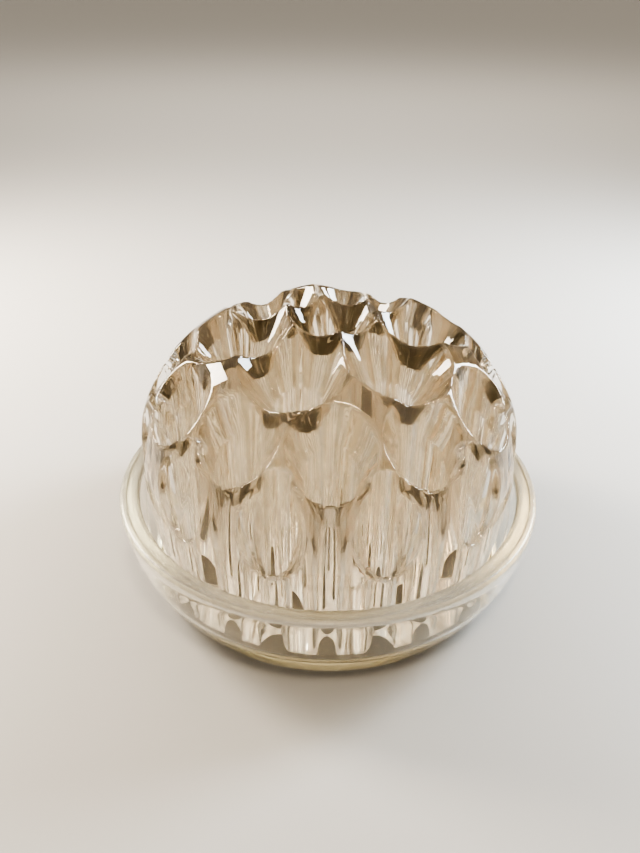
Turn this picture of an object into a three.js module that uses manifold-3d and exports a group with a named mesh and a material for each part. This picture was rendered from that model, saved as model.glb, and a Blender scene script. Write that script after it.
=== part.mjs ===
// Glass dome pierced by vertical holes, standing loose in a shallow round glass dish.
// Units are millimetres, +Z is up, and the origin is the centre of the dish's foot.
import * as THREE from 'three';
import { mergeVertices } from 'three/addons/utils/BufferGeometryUtils.js';
import Module from 'manifold-3d';

// dish
const RIM_R = 85;            // outer radius of the rim
const RIM_Z = 37.8;          // height of the rim's flat top
const FOOT_R = 71.6;         // outer radius of the foot
const FOOT_INNER_R = 63;     // inner radius of the foot ring
const FOOT_RISE = 0.8;       // height of the recess inside the foot ring
const FLOOR_Z = 10;          // height of the dish's inner floor
const WALL_TOP_Z = 34.6;     // where the wall meets the rounded edge of the rim
const WALL_OUT = 2.25;       // how far the wall swells outwards between foot and rim
const WALL_DOWN = 1;         // how far it swells downwards
const WALL_STEPS = 4;
// rounded outer edge of the rim, then its top face, which has a fine step and falls slightly inwards
const RIM = [[85, 36.6], [84.6, 37.4], [83.8, RIM_Z], [82.3, RIM_Z], [82.1, 37.4], [78, 37.1], [77.1, 36.4]];
// inside of the dish from the rim down to the edge of the flat floor
const CAVITY = [[76.7, 32], [75.9, 25.5], [74.6, 19], [73, 14.2], [71.3, 11.4], [69.2, FLOOR_Z]];
const DISH_SEGMENTS = 64;

// insert: body
const GAP = 0.35;            // clearance between the insert's base and the dish's floor
const BASE_Z = FLOOR_Z + GAP;
const DOME_R = 74.5;         // radius of the dome where it is widest
const DOME_Z = 55;           // height at which the dome is widest
const DOME_H = 59;           // rise of the dome above that height
const DOME_POWER = 2.1;      // roundness of the dome's profile, 2 being an ellipse
const DOME_STEPS = 8;
const DOME_SEGMENTS = 48;
// radius and height of the insert's wall below its widest point
const TAPER = [[67.8, BASE_Z], [69.2, 12.4], [71, 19.5], [72.3, 28], [73.4, 38], [74.2, 47]];

// insert: large holes. Angles are in degrees from the front, towards +X. A hole is a tube, of radius
// foot at the base and tube higher up, which opens over its last depth millimetres to an oval mouth
// in the dome's surface, of radius along the line from the axis and across that line
const BELOW = 4;             // how far a cutter runs past the base
const ABOVE = 3;             // how far a cutter runs above the top of the dome
const TUBE_SEGMENTS = 16;
const UPPER = { count: 6, first: -20, ring: 33, foot: 8.7, tube: 8.7, along: 20.8, across: 20.8, depth: 21 };
const CENTRE = { count: 1, first: 0, ring: 0, foot: 8.7, tube: 8.7, along: 18.5, across: 18.5, depth: 18 };
const MIDDLE = { count: 12, first: 0, ring: 60.3, foot: 5.6, tube: 8.7, along: 10, across: 15.2, depth: 13 };
const MOUTH_POWER = 1.25;    // how the mouths widen, 1 being a straight cone and more a trumpet
const MOUTH_STEPS = 3;
// outer ring of narrow blind tubes, each opened outwards by a tall oval window
const OUTER = { count: 12, first: 15, ring: 66.3, radius: 5.5, top: 77.8, segments: 12, capSteps: 2 };
const WINDOW = { ring: 73.5, z: 64, radial: 9, across: 11.4, tall: 19.5, segments: 14, rows: 10 };

const wasm = await Module();
wasm.setup();

// height of the dome's outside at a distance from the axis
function domeHeight(rho) {
  const share = Math.min(1, rho / DOME_R);
  return DOME_Z + DOME_H * (1 - share ** DOME_POWER) ** (1 / DOME_POWER);
}

function toSolid(geometry) {
  const bare = geometry.clone();
  bare.deleteAttribute('normal');
  bare.deleteAttribute('uv');
  const merged = mergeVertices(bare, 1e-4);
  return new wasm.Manifold(new wasm.Mesh({
    numProp: 3,
    vertProperties: new Float32Array(merged.attributes.position.array),
    triVerts: new Uint32Array(merged.index.array),
  }));
}

function toGeometry(solid) {
  const mesh = solid.getMesh();
  const geometry = new THREE.BufferGeometry();
  geometry.setAttribute('position', new THREE.BufferAttribute(new Float32Array(mesh.vertProperties), 3));
  geometry.setIndex(new THREE.BufferAttribute(new Uint32Array(mesh.triVerts), 1));
  geometry.computeVertexNormals();
  return geometry;
}

// turns a profile of [radius, height] pairs, listed anticlockwise, about +Z
function lathe(profile, segments) {
  const points = profile.map(([r, z]) => new THREE.Vector2(r, z));
  return new THREE.LatheGeometry(points, segments).rotateX(Math.PI / 2);
}

// closed body through a stack of rings, each a list of points [x, y, z]
function loft(rings) {
  const n = rings[0].length;
  const middle = (ring) => [0, 1, 2].map((k) => ring.reduce((sum, p) => sum + p[k], 0) / n);
  const vertices = rings.flat();
  const bottom = vertices.push(middle(rings[0])) - 1;
  const top = vertices.push(middle(rings.at(-1))) - 1;
  const last = (rings.length - 1) * n;
  const index = [];
  for (let i = 0; i < n; i += 1) {
    const next = (i + 1) % n;
    index.push(bottom, next, i);
    for (let j = 0; j + 1 < rings.length; j += 1) {
      const low = j * n;
      const high = low + n;
      index.push(low + i, low + next, high + next, low + i, high + next, high + i);
    }
    index.push(top, last + i, last + next);
  }
  const geometry = new THREE.BufferGeometry();
  geometry.setAttribute('position', new THREE.Float32BufferAttribute(vertices.flat(), 3));
  geometry.setIndex(index);
  return geometry;
}

// points about [x, y], at a radius that may depend on the direction
function outline(x, y, radiusAt, z, segments) {
  return Array.from({ length: segments }, (_, i) => {
    const turn = (2 * Math.PI * i) / segments;
    const radius = radiusAt(turn);
    return [x + radius * Math.cos(turn), y + radius * Math.sin(turn), z];
  });
}

function circle(x, y, radius, z, segments) {
  return outline(x, y, () => radius, z, segments);
}

// centre of each hole of a ring, as [x, y, angle in radians]
function centres(ring) {
  return Array.from({ length: ring.count }, (_, i) => {
    const angle = THREE.MathUtils.degToRad(ring.first + (360 / ring.count) * i - 90);
    return [ring.ring * Math.cos(angle), ring.ring * Math.sin(angle), angle];
  });
}

// radius of a hole's oval mouth in a direction measured from the line to the axis
function mouthRadius(hole, turn) {
  return 1 / Math.hypot(Math.cos(turn) / hole.along, Math.sin(turn) / hole.across);
}

// vertical hole that opens to its mouth in the dome's surface
function funnelCutter(hole, x, y, angle) {
  const ring = (widening, z) => {
    const radiusAt = (turn) => hole.tube + (mouthRadius(hole, turn - angle) - hole.tube) * widening;
    return outline(x, y, radiusAt, z, TUBE_SEGMENTS);
  };
  const rings = [circle(x, y, hole.foot, BASE_Z - BELOW, TUBE_SEGMENTS)];
  for (let j = 0; j <= MOUTH_STEPS; j += 1) {
    const share = j / MOUTH_STEPS;
    const under = hole.depth * (1 - share);
    const flat = ring(share ** MOUTH_POWER, 0);
    rings.push(flat.map(([px, py]) => [px, py, domeHeight(Math.hypot(px, py)) - under]));
  }
  rings.push(ring(1, DOME_Z + DOME_H + ABOVE));
  return toSolid(loft(rings));
}

function outerTubeCutter(x, y) {
  const rings = [circle(x, y, OUTER.radius, BASE_Z - BELOW, OUTER.segments)];
  for (let j = 0; j < OUTER.capSteps; j += 1) {
    const lift = (Math.PI / 2) * (j / OUTER.capSteps);
    const z = OUTER.top + OUTER.radius * Math.sin(lift);
    rings.push(circle(x, y, OUTER.radius * Math.cos(lift), z, OUTER.segments));
  }
  return toSolid(loft(rings));
}

function windowCutter(angle) {
  const oval = new THREE.SphereGeometry(1, WINDOW.segments, WINDOW.rows).rotateX(Math.PI / 2);
  oval.scale(WINDOW.radial, WINDOW.across, WINDOW.tall).rotateZ(angle);
  oval.translate(WINDOW.ring * Math.cos(angle), WINDOW.ring * Math.sin(angle), WINDOW.z);
  return toSolid(oval);
}

function insertBody() {
  const rings = TAPER.map(([r, z]) => circle(0, 0, r, z, DOME_SEGMENTS));
  for (let j = 0; j < DOME_STEPS; j += 1) {
    const rho = DOME_R * Math.cos((Math.PI / 2) * (j / DOME_STEPS));
    rings.push(circle(0, 0, rho, domeHeight(rho), DOME_SEGMENTS));
  }
  return toSolid(loft(rings));
}

function insertGeometry() {
  let solid = insertBody();
  for (const hole of [CENTRE, UPPER, MIDDLE]) {
    for (const [x, y, angle] of centres(hole)) {
      solid = solid.subtract(funnelCutter(hole, x, y, angle));
    }
  }
  for (const [x, y, angle] of centres(OUTER)) {
    solid = solid.subtract(outerTubeCutter(x, y).add(windowCutter(angle)));
  }
  return toGeometry(solid);
}

// outer wall from the foot to the rim, its bulge following an arc
function dishWall() {
  return Array.from({ length: WALL_STEPS + 1 }, (_, i) => {
    const t = i / WALL_STEPS;
    const bulge = 4 * t * (1 - t);
    return [FOOT_R + (RIM_R - FOOT_R) * t + WALL_OUT * bulge, WALL_TOP_Z * t - WALL_DOWN * bulge];
  });
}

function dishGeometry() {
  const profile = [[0, FOOT_RISE], [FOOT_INNER_R - FOOT_RISE, FOOT_RISE], [FOOT_INNER_R, 0]];
  profile.push(...dishWall(), ...RIM, ...CAVITY, [0, FLOOR_Z]);
  return lathe(profile, DISH_SEGMENTS);
}

const glass = { color: 0xf4f4ea, roughness: 0.05, metalness: 0, transparent: true, opacity: 0.5 };

function piece(name, geometry, look) {
  const mesh = new THREE.Mesh(geometry, new THREE.MeshStandardMaterial(look));
  mesh.name = name;
  return mesh;
}

const part = new THREE.Group();
part.name = 'pierced_glass_dome_in_dish';
part.add(piece('dish', dishGeometry(), { ...glass, color: 0xf2ead2 }));
part.add(piece('insert', insertGeometry(), glass));

export default part;
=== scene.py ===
"""Clear pressed-glass dome, pierced by tubes and side windows, standing in a thick glass dish."""
import math

import bpy
import numpy as np
import openvdb
from mathutils import Matrix, Vector


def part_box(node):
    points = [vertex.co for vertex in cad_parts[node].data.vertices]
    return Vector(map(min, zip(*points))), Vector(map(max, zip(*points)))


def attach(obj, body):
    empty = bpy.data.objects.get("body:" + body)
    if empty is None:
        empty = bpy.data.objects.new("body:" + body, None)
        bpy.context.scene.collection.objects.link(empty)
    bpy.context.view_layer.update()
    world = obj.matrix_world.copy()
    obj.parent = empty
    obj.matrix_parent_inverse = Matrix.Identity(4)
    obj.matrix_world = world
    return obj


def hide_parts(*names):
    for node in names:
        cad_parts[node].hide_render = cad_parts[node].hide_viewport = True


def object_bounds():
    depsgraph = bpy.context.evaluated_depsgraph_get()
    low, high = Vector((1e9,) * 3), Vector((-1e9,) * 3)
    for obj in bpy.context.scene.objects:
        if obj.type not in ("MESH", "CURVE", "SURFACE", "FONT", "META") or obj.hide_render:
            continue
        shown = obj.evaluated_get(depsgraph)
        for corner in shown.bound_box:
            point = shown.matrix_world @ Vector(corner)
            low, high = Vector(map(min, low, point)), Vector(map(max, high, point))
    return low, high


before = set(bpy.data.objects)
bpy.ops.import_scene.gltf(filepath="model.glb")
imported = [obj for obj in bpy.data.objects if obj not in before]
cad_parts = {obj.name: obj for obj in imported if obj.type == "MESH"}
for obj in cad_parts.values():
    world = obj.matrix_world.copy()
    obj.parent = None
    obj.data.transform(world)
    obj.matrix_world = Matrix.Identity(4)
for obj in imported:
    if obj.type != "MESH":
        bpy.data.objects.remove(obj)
cad_low, cad_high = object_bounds()

MM = 0.001
TINY = 1e-6                              # keeps a division away from zero

# ---------------------------------------------------------------- sizes, in millimetres, from the frame
dish_low, dish_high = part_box("dish")
insert_low, insert_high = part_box("insert")
RIM_R = dish_high.x / MM                 # outer radius of the dish's rim
RIM_Z = dish_high.z / MM                 # height of the rim's top
DOME_R = insert_high.x / MM              # radius of the dome where it is widest
BASE_Z = insert_low.z / MM               # underside of the insert
GAP = 0.35                               # clearance between the insert's base and the dish's floor
FLOOR_Z = BASE_Z - GAP                   # inner floor of the dish
TOP_MARGIN = 0.05                        # keeps the visual's top under the CAD's
TOP_LIMIT = cad_high.z / MM - TOP_MARGIN

# ---------------------------------------------------------------- shape of the insert
DOME_Z = 55.0                            # height where the dome is widest
DOME_H = 59.0                            # rise of the uncut dome above that
DOME_POWER = 2.1                         # roundness of its profile, 2 being an ellipse
TAPER_DROP = 4.7                         # how much narrower the base is than the widest point
TAPER_POWER = 1.5                        # how late that narrowing comes, 1 being a straight cone
TAPER_END = 1.2                          # where the taper stops, as a share of the way to the base
BASE_ROUND = 5.0                         # softening of the base's edge
EDGE = 1.0                               # softening of the edges between holes and dome
# A hole is a tube, of radius foot at the base and tube higher up, which opens over its last depth
# millimetres to an oval mouth, of radius along the line from the axis and across that line.
UPPER = dict(count=6, first=-20.0, ring=33.0, foot=8.7, tube=8.7, along=20.8, across=20.8, depth=21.0)
CENTRE = dict(count=1, first=0.0, ring=0.0, foot=8.7, tube=8.7, along=18.5, across=18.5, depth=18.0)
MIDDLE = dict(count=12, first=0.0, ring=60.3, foot=5.6, tube=8.7, along=10.0, across=15.2, depth=13.0)
TUBE_STEEPNESS = 0.92                    # makes the tubes' field nearly a distance near their mouths
# flow lines down the walls of the mouths: waves round a hole, and their height in millimetres
FLOW_LINES = ((13, 0.050), (21, 0.040), (34, 0.025))
# blind outer tubes, and the oval windows that open them outwards
STEM = dict(count=12, first=15.0, ring=66.3, radius=5.5, top=77.8)
WINDOW = dict(ring=73.5, z=64.0, radial=9.0, across=11.4, tall=19.5)
WINDOW_EDGE = 1.0                        # softening between window and outer tube

# ---------------------------------------------------------------- mesh of the insert
SPACING = 1.0                            # of the points where the shape is sampled, in x and y
# heights at which the layers of points change their spacing, and that spacing
LAYERS = ((8.0, 1.0), (14.0, 2.6), (44.0, 1.2), (66.0, 1.0), (112.0, None))
GRID_MARGIN = 3.0                        # how far the points run past the dome
FAR_OUTSIDE = 50.0                       # the field where there are no points
DOME_FIELD_LIMIT = 40.0                  # the most that the dome's field reaches outside it
HOLE_REACH = 1.5                         # a hole is cut within this many mouth radii, plus the margin
HOLE_MARGIN = 6.0
STEM_REACH = 34.0                        # an outer tube and its window are cut within this distance
WINDOW_CORE = 0.05                       # share of a window's radii where its field needs no accuracy
GRADIENT_STEP = 0.05                     # half the width over which the field's slope is taken
SETTLE_STEPS = 3                         # times that each point is moved nearer to the exact surface
SETTLE_REACH = 0.8                       # the most that it moves in one step
FLATTEST_SLOPE = 0.2                     # the least steepness squared that a step reckons with


def soft_max(a, b, width):
    """The larger of two fields, rounded where they are less than width apart, by up to a quarter of it."""
    overlap = np.maximum(width - np.abs(a - b), 0.0) / width
    return np.maximum(a, b) + overlap * overlap * width * 0.25


def dome_height(rho):
    share = np.minimum(rho / DOME_R, 1.0)
    return DOME_Z + DOME_H * (1.0 - share ** DOME_POWER) ** (1.0 / DOME_POWER)


def body_distance(rho, z):
    """Signed distance, nearly, to the dome before its holes are cut."""
    up = np.maximum(z - DOME_Z, 0.0) / DOME_H
    out = rho / DOME_R
    q = (out ** DOME_POWER + up ** DOME_POWER) ** (1.0 / DOME_POWER)
    q = np.maximum(q, TINY)
    slope_out = (out / q) ** (DOME_POWER - 1.0) / DOME_R
    slope_up = (up / q) ** (DOME_POWER - 1.0) / DOME_H
    dome = (q - 1.0) / np.maximum(np.hypot(slope_out, slope_up), TINY)
    down = np.clip((DOME_Z - z) / (DOME_Z - BASE_Z), 0.0, TAPER_END)
    wall = rho - (DOME_R - TAPER_DROP * down ** TAPER_POWER)
    side = np.where(z > DOME_Z, np.minimum(dome, DOME_FIELD_LIMIT), wall)
    return soft_max(side, BASE_Z - z, BASE_ROUND)


def hole_centres(hole):
    """Centre of each hole of a ring, and its angle. Angles are from the front, towards +X."""
    for i in range(hole["count"]):
        angle = math.radians(hole["first"] + 360.0 / hole["count"] * i - 90.0)
        yield hole["ring"] * math.cos(angle), hole["ring"] * math.sin(angle), angle


def tube_distance(x, y, z, surface_z, hole, cx, cy, angle):
    """Positive inside a vertical tube whose mouth opens under the dome's surface."""
    along = (x - cx) * math.cos(angle) + (y - cy) * math.sin(angle)
    across = (y - cy) * math.cos(angle) - (x - cx) * math.sin(angle)
    distance = np.hypot(along, across)
    oval = np.maximum(np.hypot(along / hole["along"], across / hole["across"]), TINY)
    mouth = np.where(distance > 0.0, distance / oval, hole["across"])
    share = np.clip(1.0 - (surface_z - z) / hole["depth"], 0.0, 1.0)
    rise = np.clip((z - BASE_Z) / (surface_z - hole["depth"] - BASE_Z), 0.0, 1.0)
    tube = hole["foot"] + (hole["tube"] - hole["foot"]) * rise
    turn = np.arctan2(across, along)
    flow = sum(height * np.sin(waves * turn + waves * angle) for waves, height in FLOW_LINES)
    radius = tube + (mouth - hole["tube"] + flow) * share
    return (radius - distance) * TUBE_STEEPNESS


def stem_distance(x, y, z, cx, cy):
    """Positive inside a blind outer tube with a round top."""
    above = np.maximum(z - STEM["top"], 0.0)
    return STEM["radius"] - np.sqrt((x - cx) ** 2 + (y - cy) ** 2 + above ** 2)


def window_distance(x, y, z, angle):
    """Positive inside a window, nearly a distance at its surface."""
    out = x * math.cos(angle) + y * math.sin(angle) - WINDOW["ring"]
    side = -x * math.sin(angle) + y * math.cos(angle)
    high = z - WINDOW["z"]
    a, b, c = WINDOW["radial"], WINDOW["across"], WINDOW["tall"]
    q = np.sqrt((out / a) ** 2 + (side / b) ** 2 + (high / c) ** 2)
    steep = np.sqrt((out / a ** 2) ** 2 + (side / b ** 2) ** 2 + (high / c ** 2) ** 2)
    return (1.0 - q) * np.maximum(q, WINDOW_CORE) / np.maximum(steep, TINY)


def insert_distance(x, y, z):
    """Negative inside the insert's glass, nearly a distance at its surface."""
    rho = np.hypot(x, y)
    surface_z = dome_height(rho)
    solid = body_distance(rho, z)
    for hole in (CENTRE, UPPER, MIDDLE):
        for cx, cy, angle in hole_centres(hole):
            near = np.abs(x - cx) + np.abs(y - cy) < HOLE_REACH * hole["across"] + HOLE_MARGIN
            if near.any():
                cut = tube_distance(x[near], y[near], z[near], surface_z[near], hole, cx, cy, angle)
                solid[near] = soft_max(solid[near], cut, EDGE)
    for cx, cy, angle in hole_centres(STEM):
        near = np.abs(x - cx) + np.abs(y - cy) < STEM_REACH
        if near.any():
            px, py, pz = x[near], y[near], z[near]
            stem = stem_distance(px, py, pz, cx, cy)
            cut = soft_max(stem, window_distance(px, py, pz, angle), WINDOW_EDGE)
            solid[near] = soft_max(solid[near], cut, EDGE)
    return solid


def gradient(x, y, z):
    step = GRADIENT_STEP
    return np.stack([
        insert_distance(x + step, y, z) - insert_distance(x - step, y, z),
        insert_distance(x, y + step, z) - insert_distance(x, y - step, z),
        insert_distance(x, y, z + step) - insert_distance(x, y, z - step),
    ], axis=-1) / (2.0 * step)


def layer_heights():
    heights = [LAYERS[0][0]]
    for (start, spacing), (end, _) in zip(LAYERS, LAYERS[1:]):
        n = max(1, round((end - start) / spacing))
        heights.extend(start + (end - start) * (i + 1) / n for i in range(n))
    return np.array(heights)


def insert_mesh():
    """Points, faces and normals of the insert, from its distance field."""
    heights = layer_heights()
    half = math.ceil((DOME_R + GRID_MARGIN) / SPACING) * SPACING
    across = np.arange(-half, half + SPACING / 2, SPACING)
    values = np.empty((len(across), len(across), len(heights)), np.float32)
    gx, gy = np.meshgrid(across, across, indexing="ij")
    for k, z in enumerate(heights):
        values[:, :, k] = insert_distance(gx.ravel(), gy.ravel(), np.full(gx.size, z)).reshape(gx.shape)
    grid = openvdb.FloatGrid(FAR_OUTSIDE)
    grid.copyFromArray(values)
    points, _, quads = grid.convertToPolygons(0.0)
    points = np.asarray(points, float)
    x = across[0] + points[:, 0] * SPACING
    y = across[0] + points[:, 1] * SPACING
    z = np.interp(points[:, 2], np.arange(len(heights)), heights)
    for _ in range(SETTLE_STEPS):
        g = gradient(x, y, z)
        move = insert_distance(x, y, z) / np.maximum((g * g).sum(-1), FLATTEST_SLOPE)
        move = np.clip(move, -SETTLE_REACH, SETTLE_REACH)
        x, y, z = x - move * g[:, 0], y - move * g[:, 1], z - move * g[:, 2]
    normals = gradient(x, y, z)
    normals /= np.maximum(np.linalg.norm(normals, axis=1, keepdims=True), TINY)
    co = np.stack([x, y, np.clip(z, BASE_Z, TOP_LIMIT)], axis=-1)
    return co, quads.tolist(), normals


def build_mesh(name, co, faces, normals=None):
    """Object from points in millimetres, shaded smooth."""
    mesh = bpy.data.meshes.new(name)
    mesh.from_pydata((co * MM).tolist(), [], faces)
    mesh.validate()
    mesh.update()
    mesh.polygons.foreach_set("use_smooth", np.ones(len(mesh.polygons), bool))
    if normals is not None and len(mesh.vertices) == len(normals):
        mesh.normals_split_custom_set_from_vertices(normals.tolist())
    obj = bpy.data.objects.new(name, mesh)
    bpy.context.scene.collection.objects.link(obj)
    return obj


# ---------------------------------------------------------------- shape of the dish
FOOT_R = 71.6                            # outer radius of the foot
FOOT_INNER_R = 63.0                      # inner radius of the foot ring
FOOT_RISE = 0.8                          # height of the recess inside the foot ring
FOOT_ROUND = (1.0, 0.8, 1.6)             # rounding of the foot ring's corners, from the inside outwards
WALL_TOP_Z = 34.6                        # where the wall meets the rounded edge of the rim
WALL_OUT = 2.25                          # how far the wall swells outwards between foot and rim
WALL_DOWN = 1.0                          # how far it swells downwards
WALL_STEPS = 28                          # faces up the wall
# Rounded outer edge of the rim, then its top, which has a fine step and falls slightly inwards: how far
# in from the rim's outside, how far below its top, and the rounding there.
RIM = ((0.0, 1.0, 1.2), (1.2, 0.0, 1.2), (2.6, 0.0, 0.3), (2.9, 0.45, 0.3), (6.6, 0.7, 1.6), (7.9, 1.5, 1.2))
# inside of the dish, from the rim down to where the floor's edge starts
CAVITY = ((76.7, 32.0), (75.9, 25.5), (74.6, 19.0), (73.0, 14.2), (71.3, 11.4))
CAVITY_STEPS = 6                         # faces between two of those points
FLOOR_R = 69.2                           # edge of the flat floor
FLOOR_ROUND = 2.0                        # rounding of that edge
FLAT_R = 40.0                            # a ring of points in the flat floor and in the recess
DISH_SEGMENTS = 288                      # faces round the dish
FILLET_STEPS = 6                         # faces round a rounded corner
FILLET_SHARE = 0.48                      # the most of a side that one corner's rounding takes up


def fillet(points):
    """Profile of (r, z) from points (r, z, rounding), with each corner rounded."""
    out = []
    for i, (r, z, rounding) in enumerate(points):
        here = np.array((r, z), float)
        if rounding <= 0.0 or i in (0, len(points) - 1):
            out.append(here)
            continue
        before = np.array(points[i - 1][:2], float) - here
        after = np.array(points[i + 1][:2], float) - here
        reach = min(rounding, FILLET_SHARE * np.linalg.norm(before), FILLET_SHARE * np.linalg.norm(after))
        start = here + before / np.linalg.norm(before) * reach
        end = here + after / np.linalg.norm(after) * reach
        for j in range(FILLET_STEPS + 1):
            t = j / FILLET_STEPS
            out.append((1 - t) ** 2 * start + 2 * t * (1 - t) * here + t * t * end)
    return out


def smooth_line(points, steps):
    """Catmull-Rom curve through the points."""
    p = np.array(points, float)
    p = np.vstack([2 * p[0] - p[1], p, 2 * p[-1] - p[-2]])
    out = []
    for i in range(1, len(p) - 2):
        for j in range(steps):
            t = j / steps
            a, b, c, d = p[i - 1], p[i], p[i + 1], p[i + 2]
            out.append(0.5 * (2 * b + (c - a) * t + (2 * a - 5 * b + 4 * c - d) * t * t
                              + (3 * b - a - 3 * c + d) * t ** 3))
    out.append(p[-2])
    return out


def dish_wall():
    """Outer wall from the foot to the rim, with a bulge that is a parabola."""
    wall = []
    for i in range(WALL_STEPS + 1):
        t = i / WALL_STEPS
        bulge = 4.0 * t * (1.0 - t)
        z = WALL_TOP_Z * t - WALL_DOWN * bulge
        wall.append((FOOT_R + (RIM_R - FOOT_R) * t + WALL_OUT * bulge, max(z, 0.0)))
    return wall


def dish_profile():
    """Outline of the dish from the axis under its foot, round the rim, to the axis on its floor."""
    wall = dish_wall()
    corners = [(0.0, FOOT_RISE, 0.0), (FLAT_R, FOOT_RISE, 0.0),
               (FOOT_INNER_R - FOOT_RISE, FOOT_RISE, FOOT_ROUND[0]),
               (FOOT_INNER_R, 0.0, FOOT_ROUND[1]), (*wall[0], FOOT_ROUND[2])]
    corners += [(r, z, 0.0) for r, z in wall[1:]]
    corners += [(RIM_R - inwards, RIM_Z - below, rounding) for inwards, below, rounding in RIM]
    corners += [(r, z, 0.0) for r, z in smooth_line(CAVITY, CAVITY_STEPS)]
    corners += [(FLOOR_R, FLOOR_Z, FLOOR_ROUND), (FLAT_R, FLOOR_Z, 0.0), (0.0, FLOOR_Z, 0.0)]
    return fillet(corners)


def lathe_mesh(profile):
    """Points and faces of a profile, which starts and ends on the axis, turned about it."""
    ring_points = np.array(profile[1:-1])
    rings, n = len(ring_points), DISH_SEGMENTS
    turn = np.arange(n) * 2.0 * math.pi / n
    co = np.stack([np.outer(ring_points[:, 0], np.cos(turn)), np.outer(ring_points[:, 0], np.sin(turn)),
                   np.repeat(ring_points[:, 1:], n, axis=1)], axis=-1).reshape(-1, 3)
    co = np.vstack([co, [0.0, 0.0, profile[0][1]], [0.0, 0.0, profile[-1][1]]])
    faces = []
    for i in range(n):
        j = (i + 1) % n
        faces.append((rings * n, j, i))
        faces.append((rings * n + 1, (rings - 1) * n + i, (rings - 1) * n + j))
        for k in range(rings - 1):
            low, high = k * n, (k + 1) * n
            faces.append((low + i, low + j, high + j, high + i))
    return co, faces


# ---------------------------------------------------------------- materials; lengths here are in metres
GLASS_IOR = 1.5
# slow waviness of fire-polished glass
WAVES = dict(scale=70.0, detail=2.0, strength=0.12, height=0.0004)
# faint smears that dull the polish in patches, from start to full of their noise
SMEARS = dict(scale=38.0, detail=5.0, start=0.5, full=0.75, roughness=0.015)
# frosted grain of a rim, which fades in over a short height
FROST = dict(scale=900.0, detail=3.0, strength=0.8, height=0.0002, roughness=0.24, clearness=0.80,
             fade=0.0008)
# tint is taken at each surface, and depth_tint with density on the way through the glass
DOME_GLASS = dict(tint=(0.985, 0.98, 0.965), depth_tint=(0.74, 0.62, 0.42), density=11.0)
DISH_GLASS = dict(tint=(0.98, 0.97, 0.93), depth_tint=(0.70, 0.60, 0.30), density=10.0)
FROST_DEPTH = 0.002                      # how far below the rim's top the frost starts
FLOOR_COLOUR = (0.50, 0.48, 0.45)
FLOOR_ROUGHNESS = 0.55


def add_node(material, kind, inputs, **links_in):
    """New node with values for some inputs and sockets linked to others."""
    tree = material.node_tree
    node = tree.nodes.new(kind)
    for name, value in inputs.items():
        node.inputs[name].default_value = value
    for name, socket in links_in.items():
        tree.links.new(socket, node.inputs[name])
    return node


def add_maths(material, operation, socket, other):
    """Result of a Math node on a socket and on another socket or a number."""
    node = add_node(material, "ShaderNodeMath", {})
    node.operation = operation
    material.node_tree.links.new(socket, node.inputs[0])
    if isinstance(other, float):
        node.inputs[1].default_value = other
    else:
        material.node_tree.links.new(other, node.inputs[1])
    return node.outputs["Value"]


def add_frost(material, position, start, roughness, normal):
    """Frosts the glass above the height start. Gives the new roughness and normal."""
    split = add_node(material, "ShaderNodeSeparateXYZ", {}, Vector=position)
    zone = {"From Min": start, "From Max": start + FROST["fade"]}
    mask = add_node(material, "ShaderNodeMapRange", zone, Value=split.outputs["Z"]).outputs["Result"]
    grain = add_node(material, "ShaderNodeTexNoise", {"Scale": FROST["scale"], "Detail": FROST["detail"]},
                     Vector=position)
    frosted = add_maths(material, "MULTIPLY", mask, FROST["roughness"])
    strength = add_maths(material, "MULTIPLY", mask, FROST["strength"])
    pits = add_node(material, "ShaderNodeBump", {"Distance": FROST["height"]},
                    Strength=strength, Height=grain.outputs["Fac"], Normal=normal)
    clear = add_node(material, "ShaderNodeMapRange", {"To Min": 1.0, "To Max": FROST["clearness"]},
                     Value=mask)
    shader = material.node_tree.nodes["Principled BSDF"]
    material.node_tree.links.new(clear.outputs["Result"], shader.inputs["Transmission Weight"])
    return add_maths(material, "ADD", roughness, frosted), pits.outputs["Normal"]


def glass(name, look, frost_above=None):
    """Thick clear pressed glass, whose colour deepens with the way that light goes through it.
    Above the height frost_above it is slightly frosted and sparkles."""
    material = bpy.data.materials.new(name)
    material.use_nodes = True
    nodes, links = material.node_tree.nodes, material.node_tree.links
    shader = nodes["Principled BSDF"]
    shader.inputs["Base Color"].default_value = (*look["tint"], 1.0)
    shader.inputs["Transmission Weight"].default_value = 1.0
    shader.inputs["IOR"].default_value = GLASS_IOR
    position = add_node(material, "ShaderNodeTexCoord", {}).outputs["Object"]
    waves = add_node(material, "ShaderNodeTexNoise", {"Scale": WAVES["scale"], "Detail": WAVES["detail"]},
                     Vector=position)
    ripple = add_node(material, "ShaderNodeBump",
                      {"Strength": WAVES["strength"], "Distance": WAVES["height"]},
                      Height=waves.outputs["Fac"])
    smears = add_node(material, "ShaderNodeTexNoise",
                      {"Scale": SMEARS["scale"], "Detail": SMEARS["detail"]}, Vector=position)
    polish = add_node(material, "ShaderNodeMapRange",
                      {"From Min": SMEARS["start"], "From Max": SMEARS["full"],
                       "To Min": 0.0, "To Max": SMEARS["roughness"]}, Value=smears.outputs["Fac"])
    roughness, normal = polish.outputs["Result"], ripple.outputs["Normal"]
    if frost_above is not None:
        roughness, normal = add_frost(material, position, frost_above, roughness, normal)
    links.new(roughness, shader.inputs["Roughness"])
    links.new(normal, shader.inputs["Normal"])
    body = add_node(material, "ShaderNodeVolumeAbsorption",
                    {"Color": (*look["depth_tint"], 1.0), "Density": look["density"]})
    links.new(body.outputs["Volume"], nodes["Material Output"].inputs["Volume"])
    return material


def plain(name, colour, roughness):
    material = bpy.data.materials.new(name)
    material.use_nodes = True
    shader = material.node_tree.nodes["Principled BSDF"]
    shader.inputs["Base Color"].default_value = (*colour, 1.0)
    shader.inputs["Roughness"].default_value = roughness
    return material


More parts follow.
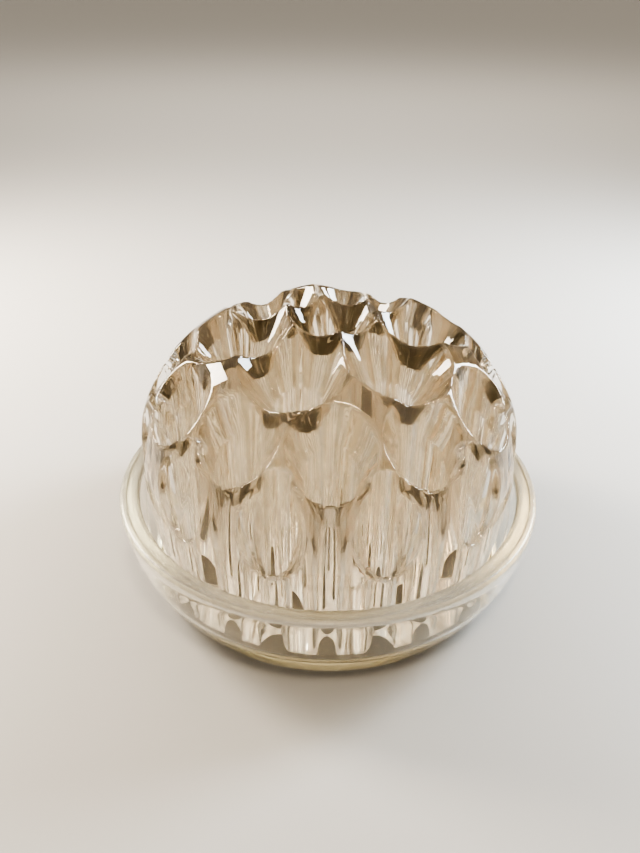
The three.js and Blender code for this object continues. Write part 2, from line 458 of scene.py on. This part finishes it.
# ---------------------------------------------------------------- pieces
dome = build_mesh("dome_insert", *insert_mesh())
dome.data.materials.append(glass("dome_glass", DOME_GLASS))
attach(dome, "insert")
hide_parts("insert")

bowl = build_mesh("dish_bowl", *lathe_mesh(dish_profile()))
bowl.data.materials.append(glass("dish_glass", DISH_GLASS, dish_high.z - FROST_DEPTH))
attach(bowl, "dish")
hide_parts("dish")

# ---------------------------------------------------------------- floor; lengths from here on in metres
FLOOR_SIZE = 30.0
FLOOR_DROP = 0.0002                      # keeps the floor from touching the foot
bpy.ops.mesh.primitive_plane_add(size=FLOOR_SIZE, location=(0.0, 0.0, -FLOOR_DROP))
floor = bpy.context.object
floor.name = "floor"
floor.data.materials.append(plain("floor_paint", FLOOR_COLOUR, FLOOR_ROUGHNESS))

# ---------------------------------------------------------------- room and lights
# The room's brightness by height above the horizon, as the sine of the angle: a pale wall, a dark band
# that gives the glass its dark lines, and a bright ceiling.
SKY = ((0.0, (0.44, 0.42, 0.39)), (0.26, (0.40, 0.38, 0.35)), (0.36, (0.045, 0.033, 0.022)),
       (0.54, (0.03, 0.021, 0.013)), (0.60, (0.90, 0.82, 0.70)), (1.0, (1.0, 0.93, 0.83)))
OBJECT_MIDDLE = (0.0, 0.0, 0.055)
# name, place, the point it shines at, size, power in watts, colour
LIGHTS = (
    ("key", (-0.45, 0.20, 0.30), (0.0, 0.32, 0.10), (0.20, 0.30), 6.5, (1.0, 0.92, 0.82)),
    ("window", (0.45, 0.20, 0.30), (0.0, 0.32, 0.10), (0.20, 0.30), 6.5, (0.82, 0.91, 1.0)),
    ("lamp", (0.05, -0.36, 0.80), OBJECT_MIDDLE, (0.12, 0.12), 2.5, (1.0, 0.86, 0.68)),
    ("far", (0.0, 1.10, 0.90), (0.0, 1.9, 0.0), (1.60, 0.60), 9.0, (1.0, 0.96, 0.90)),
)
# light has to pass through many walls of glass before it leaves it again
MAX_BOUNCES = 40
GLOSSY_BOUNCES = 16
EXPOSURE = -0.4
VIEW_LOOK = "AgX - Very High Contrast"


def make_room():
    world = bpy.data.worlds.new("studio")
    bpy.context.scene.world = world
    world.use_nodes = True
    nodes, links = world.node_tree.nodes, world.node_tree.links
    place = nodes.new("ShaderNodeTexCoord")
    split = nodes.new("ShaderNodeSeparateXYZ")
    ramp = nodes.new("ShaderNodeValToRGB")
    elements = ramp.color_ramp.elements
    while len(elements) < len(SKY):
        elements.new(0.5)
    for element, (height, colour) in zip(elements, SKY):
        element.position = height
        element.color = (*colour, 1.0)
    links.new(place.outputs["Generated"], split.inputs["Vector"])
    links.new(split.outputs["Z"], ramp.inputs["Fac"])
    links.new(ramp.outputs["Color"], nodes["Background"].inputs["Color"])


def soft_light(name, place, aim, size, power, colour):
    lamp = bpy.data.lights.new(name, "AREA")
    lamp.shape = "RECTANGLE"
    lamp.size, lamp.size_y = size
    lamp.energy = power
    lamp.color = colour
    obj = bpy.data.objects.new(name, lamp)
    obj.location = place
    obj.rotation_euler = (Vector(aim) - Vector(place)).to_track_quat("-Z", "Y").to_euler()
    bpy.context.scene.collection.objects.link(obj)


make_room()
for light in LIGHTS:
    soft_light(*light)
bpy.context.scene.cycles.max_bounces = MAX_BOUNCES
bpy.context.scene.cycles.transmission_bounces = MAX_BOUNCES
bpy.context.scene.cycles.glossy_bounces = GLOSSY_BOUNCES
bpy.context.scene.view_settings.exposure = EXPOSURE
bpy.context.scene.view_settings.look = VIEW_LOOK

# ---------------------------------------------------------------- camera
CAMERA_PLACE = Vector((-0.0036, -0.2533, 0.2168))
PITCH = math.radians(31.74)              # how far the camera looks down
ROLL = math.radians(0.81)
FOCAL_SHARE = 740.0 / 853.0              # focal length over the long side of the image
SENSOR = 36.0                            # in millimetres
CLIP_START = 0.01

forward = Vector((0.0, math.cos(PITCH), -math.sin(PITCH)))
right = Vector((1.0, 0.0, 0.0))
facing = Matrix((right, right.cross(forward), -forward)).transposed() @ Matrix.Rotation(ROLL, 3, "Z")
camera_data = bpy.data.cameras.new("camera")
camera_data.sensor_width = SENSOR
camera_data.lens = SENSOR * FOCAL_SHARE
camera_data.clip_start = CLIP_START
camera = bpy.data.objects.new("camera", camera_data)
camera.matrix_world = Matrix.Translation(CAMERA_PLACE) @ facing.to_4x4()
bpy.context.scene.collection.objects.link(camera)
bpy.context.scene.camera = camera
